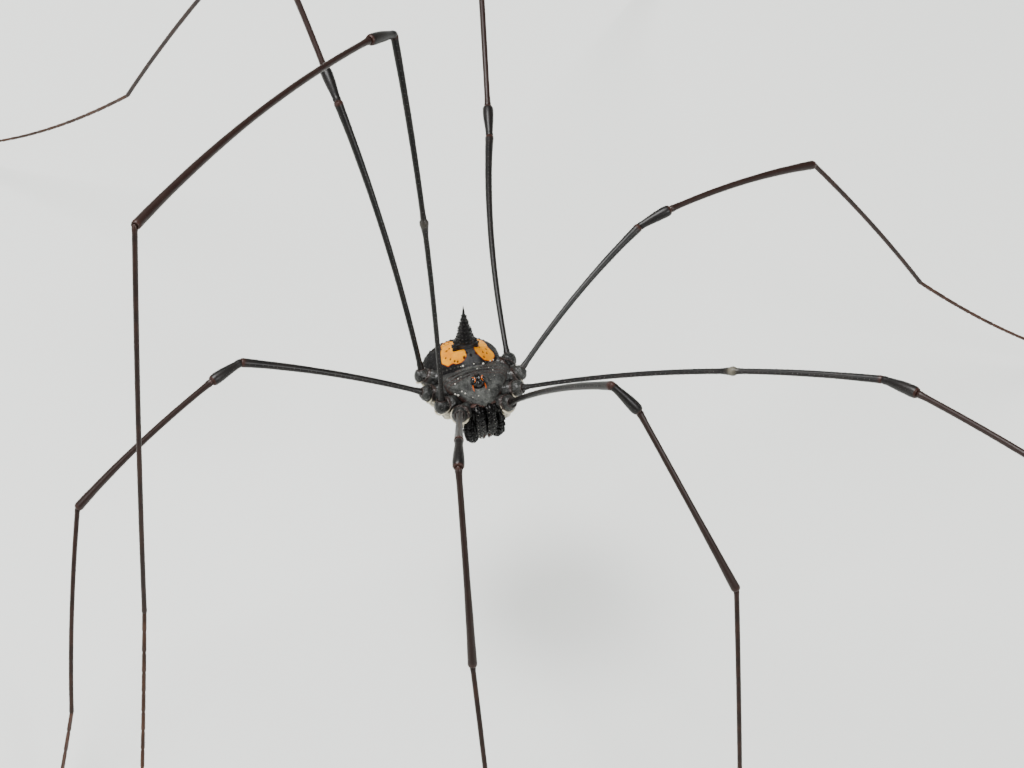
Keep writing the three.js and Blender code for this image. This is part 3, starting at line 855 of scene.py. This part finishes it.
def build_scutum():
    shape = new_shape()
    add_ball(shape, 280, 190)
    patch, pit, grey, cream, warm = layers_of(shape, "patch", "pit", "grey", "cream", "warm")
    for vert in shape.verts:
        direction = vert.co.copy()
        point = abdomen_point(direction)
        rough = rough_at(point, 4.5, 5)
        top = smooth(direction.z, 0.0, 0.25)
        inside = patch_at(point.x, point.y, 0.12 * noise.noise(point * 2.6)) * top
        inside *= 1 - smooth(0.26 - abs(point.x - 0.08), 0.0, 0.08)
        red, black = pits_at(point.x, point.y, REDDISH_PITS), pits_at(point.x, point.y, GREY_PITS)
        dent = max(red, black)
        arc = point.y - 0.10 * point.x * point.x
        ridge = sum(hump(arc, middle, 0.05) for middle in BACK_RIDGES)
        level = point.z + 0.12 * math.sin(point.y * 2.1)
        folds = sum(hump(level, fold, 0.045) for fold in (-1.0, -1.25, -1.5))
        under = smooth(-point.z, 0.95, 1.15)
        out = direction.normalized()
        point += out * (0.02 * rough * (1 - 0.7 * inside) + 0.02 * inside - 0.05 * folds * under)
        point -= out * (0.06 * dent + 0.05 * ridge) * top
        vert.co = point
        vert[patch] = inside
        vert[pit] = red * top
        front = smooth(2.35 - point.y, 0.0, 0.3)
        middle = smooth(0.80 - abs(point.x - 0.05), 0.0, 0.45) * front
        vert[grey] = middle * top * (1 - smooth(black, 0.1, 0.5))
        vert[cream] = 0.55 * under * smooth(0.5 + 0.8 * rough, 0.2, 0.6)
        vert[warm] = 0.5 * hump(point.z, -0.95, 0.09) + 0.3 * ridge * top
    tree = BVHTree.FromBMesh(shape)
    rng = random.Random("scutum")
    dark = []
    for _ in range(1000):
        x, y = rng.uniform(-2.6, 2.3), rng.uniform(0.9, 4.4)
        if patch_at(x, y, 0.05) <= 0.05:
            dark += stand_on(tree, x, y, lambda: (rng.uniform(0.016, 0.034), rng.uniform(0.02, 0.045)), 0.15)
    scatter(shape, BEAD, dark, "pale", 0.03)
    # Rows of knobs along the front edge and across the plates behind the spine
    knobs = []
    rows = ((1.06, 0.13, 16, 1.7), (3.4, 0.12, 14, 1.9), (3.78, 0.12, 12, 1.7), (4.08, 0.12, 10, 1.3))
    for middle, bend, count, reach in rows:
        for n in range(count):
            x = reach * (2 * n / (count - 1) - 1)
            knobs += stand_on(tree, x, middle + bend * x * x,
                              lambda: (rng.uniform(0.05, 0.085), rng.uniform(0.04, 0.07)), 0.02)
    scatter(shape, BEAD, knobs, "pale", 0.06)
    places = []
    for x, y, size in BACK_GRAINS:
        places += stand_on(tree, x, y, lambda: (0.025 + 0.011 * size, 0.03 + 0.011 * size))
    scatter(shape, BEAD, places, "pale", 0.9)
    finish_piece(shape, "scutum", "scutum", "opisthosoma")


def build_pleats():
    """The folded strip across the waist, where the front shield meets the back one."""
    shape = new_shape()
    rng = random.Random("pleats")
    reach = 1.7
    for middle, height, thick in ((0.66, 0.76, 0.115), (0.88, 0.80, 0.14)):
        stops = []
        for n in range(57):
            x = reach * (2 * n / 56 - 1)
            centre = Vector((x, middle + 0.04 * x * x, height - 0.17 * x * x - 0.03 * x ** 4))
            slope = Vector((1, 0.08 * x, -0.34 * x - 0.12 * x ** 3))
            radius = thick * (0.35 + 0.65 * smooth(reach - abs(x), 0.0, 0.45)) * rng.uniform(0.95, 1.05)
            stops.append((centre, slope, radius, radius * 0.9))
        sweep(shape, stops, 16, Vector((0, 1, 0)))
    warm = shape.verts.layers.float["warm"]
    for vert in shape.verts:
        rough = rough_at(vert.co, 6)
        vert.co += Vector((0, 0, 0.03 * rough))
        vert[warm] = 0.6 * smooth(rough, 0.05, 0.5)
    finish_piece(shape, "waist_folds", "carapace")


def build_spine():
    """The back spine: a wide foot, rings of blunt tubercles and a smooth needle tip."""
    rng = random.Random("spine")
    along = (SPINE_TIP - SPINE_FOOT).normalized()
    length = (SPINE_TIP - SPINE_FOOT).length
    across = along.cross(Vector((0, 1, 0))).normalized()
    rise = along.cross(across)
    wide = [(-0.2, 0.86), (0.0, 0.86), (0.25, 0.82), (0.42, 0.72), (0.62, 0.57), (0.85, 0.50), (1.35, 0.40),
            (1.85, 0.275), (2.3, 0.175), (2.75, 0.09), (length - 0.1, 0.03), (length, 0.01)]
    deep = [(-0.2, 0.32), (0.0, 0.33), (0.25, 0.37), (0.42, 0.42), (0.62, 0.46), (0.85, 0.46)] + wide[6:]
    rows = [0.18 + 0.255 * n for n in range(10)]
    shape = new_shape()
    stops = []
    for distance in distances(wide, 0.04):
        bulge = max(hump(distance, row, 0.07) for row in rows) * smooth(length - distance, 0.5, 0.9)
        stops.append((SPINE_FOOT + along * distance, along, between(wide, distance) * (1 + 0.05 * bulge),
                      between(deep, distance) * (1 + 0.05 * bulge)))
    sweep(shape, stops, 56, across)
    grey = shape.verts.layers.float["grey"]
    for vert in shape.verts:
        offset = vert.co - SPINE_FOOT
        distance = offset.dot(along)
        normal = (offset - along * distance).normalized()
        rough = rough_at(vert.co, 5)
        vert.co += normal * 0.03 * rough * smooth(length - distance, 0.3, 1.0)
        vert[grey] = 0.8 * smooth(-normal.y, 0.5, 0.85) * smooth(0.60 - distance, 0.0, 0.2)
    knobs = []
    for row, distance in enumerate(rows):
        count = max(7, round(2 * math.pi * between(wide, distance) / 0.21))
        for n in range(count):
            angle = 2 * math.pi * (n + 0.5 * (row % 2) + rng.uniform(-0.15, 0.15)) / count
            normal = across * math.cos(angle) + rise * math.sin(angle)
            if distance < 0.5 and normal.y < -0.35:
                continue
            at = distance + rng.uniform(-0.04, 0.04)
            point = SPINE_FOOT + along * at + across * math.cos(angle) * between(wide, at) * 0.98
            point += rise * math.sin(angle) * between(deep, at) * 0.98
            size = rng.uniform(0.85, 1.15) * (0.085 - 0.038 * distance / length)
            knobs.append(upright(point, normal, size, size * 1.5, along * 0.5))
    scatter(shape, BEAD, knobs, "pale", 0.02)
    finish_piece(shape, "back_spine", "spine", "spine")


def eye_at(side):
    return Vector((side * EYE_PLACE.x, EYE_PLACE.y, EYE_PLACE.z))


def build_eye_mound():
    """The mound on the front shield with its orange corner stripes, and the two eyes in it."""
    shape = new_shape()
    add_ball(shape, 80, 52)
    for vert in shape.verts:
        direction = vert.co.copy()
        point = MOUND_CENTRE + Vector(size * share for size, share in zip(MOUND_RADII, direction))
        point.z -= 0.06 * hump(point.x, 0, 0.10) * smooth(direction.z, 0.2, 0.8)
        point += direction * 0.012 * rough_at(point, 7)
        for side in (-1, 1):
            point -= direction * 0.10 * hump((point - eye_at(side) - direction * 0.1).length, 0, 0.20)
        vert.co = point
    tree = BVHTree.FromBMesh(shape)
    # Orange stripes down the two front corners on to the shield
    for side in (-1, 1):
        stops = []
        for n in range(13):
            share = n / 12
            x = side * (0.37 + 0.03 * math.sin(share * 3))
            centre = Vector((x, -0.70 - 0.38 * share, 1.08 - 0.22 * share))
            thick = 0.010 + 0.030 * math.sin(math.pi * min(share + 0.12, 1)) ** 0.7
            stops.append((centre, Vector((side * 0.03, -0.38, -0.22)), thick, thick * 0.6))
        sweep(shape, stops, 10, ACROSS, "orange")
    grains = []
    rng = random.Random("mound")
    for side in (-1, 1):
        for n in range(6):
            grains += stand_on(tree, side * 0.12, -0.40 + 0.08 * n, lambda: (0.025, rng.uniform(0.05, 0.08)))
    scatter(shape, CONE, grains)
    finish_piece(shape, "eye_mound_shell", "eye_mound", "eye_mound")
    for side, node in ((-1, "eye_r"), (1, "eye_l")):
        shape = new_shape()
        add_ball(shape, 40, 28, EYE_RADIUS)
        centre = eye_at(side)
        bmesh.ops.translate(shape, vec=centre, verts=shape.verts)
        look = Vector((side * 0.62, -0.42, 0.66)).normalized()
        inner = (Vector((-side, 0, 0)) - look * -side * look.x).normalized()
        upper = inner.cross(look) * (1 if inner.cross(look).z > 0 else -1)
        stops = []
        for n in range(25):
            angle = math.radians(-65 + 165 * n / 24)
            way = inner * math.cos(angle) + upper * math.sin(angle)
            thick = 0.008 + 0.026 * math.sin(math.pi * n / 24)
            tangent = upper * math.cos(angle) - inner * math.sin(angle)
            stops.append((centre + look * 0.085 + way * 0.18, tangent, thick, thick))
        sweep(shape, stops, 10, look, "orange")
        finish_piece(shape, f"{node}_lens", "eye", node)


# Jaws and feelers

class Curve:
    """A smooth line through stops, measured by its share of the whole."""

    def __init__(self, stops):
        self.stops = [Vector(stop) for stop in stops]

    def at(self, share):
        count = len(self.stops) - 1
        place = min(max(share, 0.0), 1.0) * count
        n = min(int(place), count - 1)
        t = place - n
        p1, p2 = self.stops[n], self.stops[n + 1]
        p0 = self.stops[n - 1] if n else p1 * 2 - p2
        p3 = self.stops[n + 2] if n + 2 <= count else p2 * 2 - p1
        return 0.5 * (p1 * 2 + (p2 - p0) * t + (p0 * 2 - p1 * 5 + p2 * 4 - p3) * t * t
                      + (p1 * 3 - p0 - p2 * 3 + p3) * t ** 3)

    def along(self, share):
        return (self.at(min(share + 0.01, 1)) - self.at(max(share - 0.01, 0))).normalized()


def lobes(shape, curve, profile, sides, steps, ridges=0, depth=0.0):
    """A limb along a curve, its radius given at shares of its length, with ridges running along it."""
    stops = []
    first, last = profile[0][0], profile[-1][0]
    for n in range(steps + 1):
        share = first + (last - first) * n / steps
        radius = between(profile, share)
        stops.append((curve.at(share), curve.along(share), radius, radius))
    rings = sweep(shape, stops, sides, ACROSS)
    for ring, (centre, _, _, _) in zip(rings, stops):
        for n, vert in enumerate(ring):
            vert.co += (vert.co - centre) * depth * math.cos(ridges * 2 * math.pi * n / sides)
            vert.co += (vert.co - centre) * 0.14 * rough_at(vert.co, 8, 3)
    return [vert for ring in rings for vert in ring]


def grains_on(curve, profile, rows, spacing, size, rng, first, last):
    """Places for rows of grains along a limb, at the angles round it that rows gives."""
    places = []
    share = first
    while share < last:
        for row in rows:
            angle = row + rng.uniform(-0.15, 0.15)
            at = share + rng.uniform(-0.3, 0.3) * spacing
            along = curve.along(at)
            normal = round_about(along, ACROSS, angle)
            point = curve.at(at) + normal * between(profile, at)
            scale = size * rng.uniform(0.7, 1.2)
            places.append(upright(point, normal, scale, scale * 1.4, along * 0.4))
        share += spacing
    return places


def speckle(shape, places, paleness):
    """Rows of grains, of which every sixth is pale."""
    scatter(shape, CONE, places[::6], "pale", paleness)
    scatter(shape, CONE, [place for n, place in enumerate(places) if n % 6])


CHELICERA = ((0.34, -1.5, 0.0), (0.35, -2.05, 0.02), (0.36, -2.36, -0.35), (0.36, -2.45, -1.0),
             (0.34, -2.42, -1.7), (0.24, -2.3, -2.35))
PALPS = {
    "r": ((0.78, -1.5, -0.5), (1.02, -1.95, -0.6), (1.16, -2.25, -1.15), (1.08, -2.4, -1.8),
          (0.74, -2.38, -2.45)),
    "l": ((0.78, -1.5, -0.5), (0.90, -1.95, -0.6), (0.90, -2.22, -1.15), (0.86, -2.35, -1.8),
          (0.62, -2.32, -2.4)),
}
JAW_BASE = ((0.0, 0.18), (0.05, 0.26), (0.2, 0.29), (0.36, 0.29), (0.42, 0.22), (0.44, 0.12))
JAW_HAND = ((0.36, 0.14), (0.41, 0.27), (0.52, 0.31), (0.66, 0.30), (0.78, 0.26), (0.84, 0.16))
JAW_FINGER = ((0.0, 0.12), (0.3, 0.13), (0.75, 0.08), (1.0, 0.015))
PALP_PARTS = (
    ((0.0, 0.20), (0.04, 0.26), (0.10, 0.26), (0.13, 0.16)),
    ((0.10, 0.14), (0.15, 0.25), (0.32, 0.31), (0.44, 0.32), (0.48, 0.20)),
    ((0.45, 0.18), (0.49, 0.30), (0.60, 0.33), (0.65, 0.20)),
    ((0.62, 0.18), (0.66, 0.30), (0.76, 0.30), (0.81, 0.18)),
    ((0.78, 0.16), (0.82, 0.24), (0.90, 0.19), (0.97, 0.10), (1.0, 0.03)),
)
PALP_ROWS = (0.4, 1.4, 3.5, 4.1, 4.7, 5.3)
PALP_END = ((0.0, 0.10), (0.3, 0.12), (0.7, 0.12), (1.0, 0.03))


def build_jaw(letter, side, rng):
    curve = Curve([(side * x - 0.04, y, z) for x, y, z in CHELICERA])
    shape = new_shape()
    lobes(shape, curve, JAW_BASE, 40, 40, 6, 0.10)
    lobes(shape, curve, JAW_HAND, 40, 48, 6, 0.15)
    for finger, spread in ((0, 0.09), (1, -0.09)):
        tip_line = Curve([curve.at(0.74) + Vector((side * spread, 0.05 - 0.1 * finger, 0)),
                          curve.at(0.88) + Vector((side * spread * 1.5, 0.02 - 0.14 * finger, 0)),
                          curve.at(1.0) + Vector((side * spread * 0.3, -0.02, 0))])
        paint(shape, lobes(shape, tip_line, JAW_FINGER, 16, 18), "warm", 0.5)
    rows = grains_on(curve, JAW_BASE, (4.2, 4.9, 5.6), 0.035, 0.024, rng, 0.06, 0.34)
    rows += grains_on(curve, JAW_HAND, (3.9, 4.5, 5.1, 5.6), 0.03, 0.026, rng, 0.4, 0.8)
    speckle(shape, rows, 0.8)
    hairs = grains_on(curve, JAW_HAND, (3.9, 4.5, 5.1, 5.7), 0.05, 0.009, rng, 0.42, 0.8)
    scatter(shape, HAIR, [place @ Matrix.Diagonal((1, 1, 9, 1)) for place in hairs], "pale", 0.2)
    finish_piece(shape, f"jaw_{letter}", "mouthparts", f"chelicera_{letter}")


def build_feeler(letter, side, rng):
    curve = Curve([(side * x, y, z) for x, y, z in PALPS[letter]])
    shape = new_shape()
    for profile in PALP_PARTS:
        lobes(shape, curve, profile, 36, 24, 6, 0.14)
        first, last = profile[0][0] + 0.03, profile[-1][0] - 0.03
        speckle(shape, grains_on(curve, profile, PALP_ROWS, 0.022, 0.024, rng, first, last), 0.9)
    # The thin end of the feeler, folded back inward under the jaws
    end = Curve([curve.at(0.97),
                 curve.at(0.97) + Vector((-side * 0.18, 0.18, 0.1)),
                 curve.at(0.8) + Vector((-side * 0.30, 0.30, 0.2)),
                 curve.at(0.6) + Vector((-side * 0.34, 0.3, 0.3))])
    lobes(shape, end, PALP_END, 16, 24)
    finish_piece(shape, f"feeler_{letter}", "mouthparts", f"pedipalp_{letter}")


# The dark lobes that close the mouth behind the jaws, and the pale ones under the hips: place and sizes
MOUTH_LOBES = (
    ((-0.55, -1.78, -0.85), (0.52, 0.42, 1.05)), ((0.55, -1.78, -0.85), (0.52, 0.42, 1.05)),
    ((0.0, -1.86, -1.15), (0.40, 0.36, 1.05)), ((-0.35, -2.0, -1.5), (0.34, 0.30, 0.75)),
    ((0.35, -2.0, -1.5), (0.34, 0.30, 0.75)), ((-0.95, -1.85, -0.95), (0.34, 0.36, 0.8)),
    ((0.80, -1.85, -0.95), (0.34, 0.36, 0.8)), ((0.0, -2.12, -1.55), (0.20, 0.24, 0.85)),
    ((0.62, -2.10, -1.6), (0.22, 0.26, 0.75)), ((-0.72, -2.12, -1.6), (0.22, 0.26, 0.75)),
)
HIP_LOBES = (((0.42, -1.35, -0.72), (0.3, 0.42, 0.3)), ((0.75, -0.75, -0.78), (0.28, 0.4, 0.26)))


def build_underside():
    """The long plate under the body, between the hips, and the lobes round the mouth."""
    shape = new_shape()
    add_ball(shape, 72, 40)
    cream, warm = layers_of(shape, "cream", "warm")
    for vert in shape.verts:
        direction = vert.co.copy()
        wide = 0.62 + 0.22 * smooth(direction.y, -0.6, 0.8)
        point = Vector((wide * direction.x, 0.55 + 1.75 * direction.y, -0.92 + 0.28 * direction.z))
        rough = rough_at(point, 5)
        point += direction * 0.02 * rough
        vert.co = point
        vert[cream] = 0.5 * smooth(rough + 0.4, 0.2, 0.7)
        vert[warm] = 0.5 * smooth(abs(direction.x), 0.6, 0.9)
    for side in (-1, 1):
        for (x, y, z), sizes in HIP_LOBES:
            lobe = add_ball(shape, 32, 20)
            bmesh.ops.scale(shape, vec=sizes, verts=lobe)
            bmesh.ops.translate(shape, vec=(side * x, y, z), verts=lobe)
            paint(shape, lobe, "cream", 0.7)
    finish_piece(shape, "underside", "carapace")

    shape = new_shape()
    for centre, sizes in MOUTH_LOBES:
        lobe = add_ball(shape, 40, 28)
        for vert in lobe:
            ridges = 1 + 0.05 * math.cos(9 * math.atan2(vert.co.y, vert.co.x))
            x, y, z = vert.co
            vert.co = Vector((sizes[0] * x * ridges, sizes[1] * y * ridges, sizes[2] * z)) + Vector(centre)
            vert.co += 0.03 * noise.noise(vert.co * 5) * UP
    finish_piece(shape, "mouth_lobes", "mouthparts")


for leg in POSE:
    build_leg(leg)
build_carapace()
build_pleats()
build_scutum()
build_spine()
build_eye_mound()
for letter, side in (("r", -1), ("l", 1)):
    jaw_rng = random.Random("jaw" + letter)
    build_jaw(letter, side, jaw_rng)
    build_feeler(letter, side, jaw_rng)
build_underside()


# Floor, light and camera

def build_floor():
    plane = bmesh.new()
    bmesh.ops.create_grid(plane, x_segments=1, y_segments=1, size=3.0)
    mesh = bpy.data.meshes.new("floor")
    plane.to_mesh(mesh)
    plane.free()
    finish = Finish("floor", roughness=0.75)
    place = finish.place()
    cloud = finish.grain(place, 0.02, 2)
    finish.set(Base_Color=finish.mix(cloud, (0.70, 0.71, 0.68), (0.76, 0.77, 0.74)))
    mesh.materials.append(finish.material)
    floor = put_in_scene("floor", mesh)


def build_light(name, place, size, power):
    """A round soft light that looks at the middle of the animal."""
    lamp = bpy.data.lights.new(name, "AREA")
    lamp.shape = "DISK"
    lamp.size = size
    lamp.energy = power
    holder = put_in_scene(name, lamp)
    holder.location = ORIGIN + Vector(place)
    holder.rotation_euler = (-Vector(place)).to_track_quat("-Z", "Y").to_euler()


build_floor()
build_light("soft_top", (-0.10, 0.12, 0.42), 0.26, 4.6)
build_light("soft_front", (0.28, -0.42, 0.36), 0.20, 2.6)
build_light("soft_side", (-0.45, -0.12, 0.22), 0.20, 1.1)

world = bpy.data.worlds.new("studio")
world.use_nodes = True
world.node_tree.nodes["Background"].inputs["Color"].default_value = (0.82, 0.88, 0.86, 1)
world.node_tree.nodes["Background"].inputs["Strength"].default_value = 0.28
bpy.context.scene.world = world

# The camera looks down at the animal, from a little to its right of straight ahead. PIXELS is how many
# make one unit of slope. The middle of the picture is to the right of the mouth and above it, and
# TO_MIDDLE says how far, in millimetres.
CAMERA_TURN = math.radians(-17)
CAMERA_RISE = math.radians(50)
CAMERA_DISTANCE = 200
PIXELS = 3200
MOUTH_PLACE = Vector((0, -1.9, 0))
TO_MIDDLE = (27.7 / 16, 25 / 16)

level = Vector((math.sin(CAMERA_TURN), -math.cos(CAMERA_TURN), 0))
toward = level * math.cos(CAMERA_RISE) + UP * math.sin(CAMERA_RISE)
right = Vector((math.cos(CAMERA_TURN), math.sin(CAMERA_TURN), 0))
above = toward.cross(right)
target = MOUTH_PLACE + right * TO_MIDDLE[0] + above * TO_MIDDLE[1]
camera_data = bpy.data.cameras.new("camera")
camera_data.sensor_width = 36
camera_data.lens = PIXELS / 1024 * 36
camera_data.clip_start = 0.005
camera_data.clip_end = 20
camera = put_in_scene("camera", camera_data)
facing = Matrix((right, above, toward)).transposed().to_4x4()
camera.matrix_world = Matrix.Translation(ORIGIN + (target + toward * CAMERA_DISTANCE) * MM) @ facing
bpy.context.scene.camera = camera
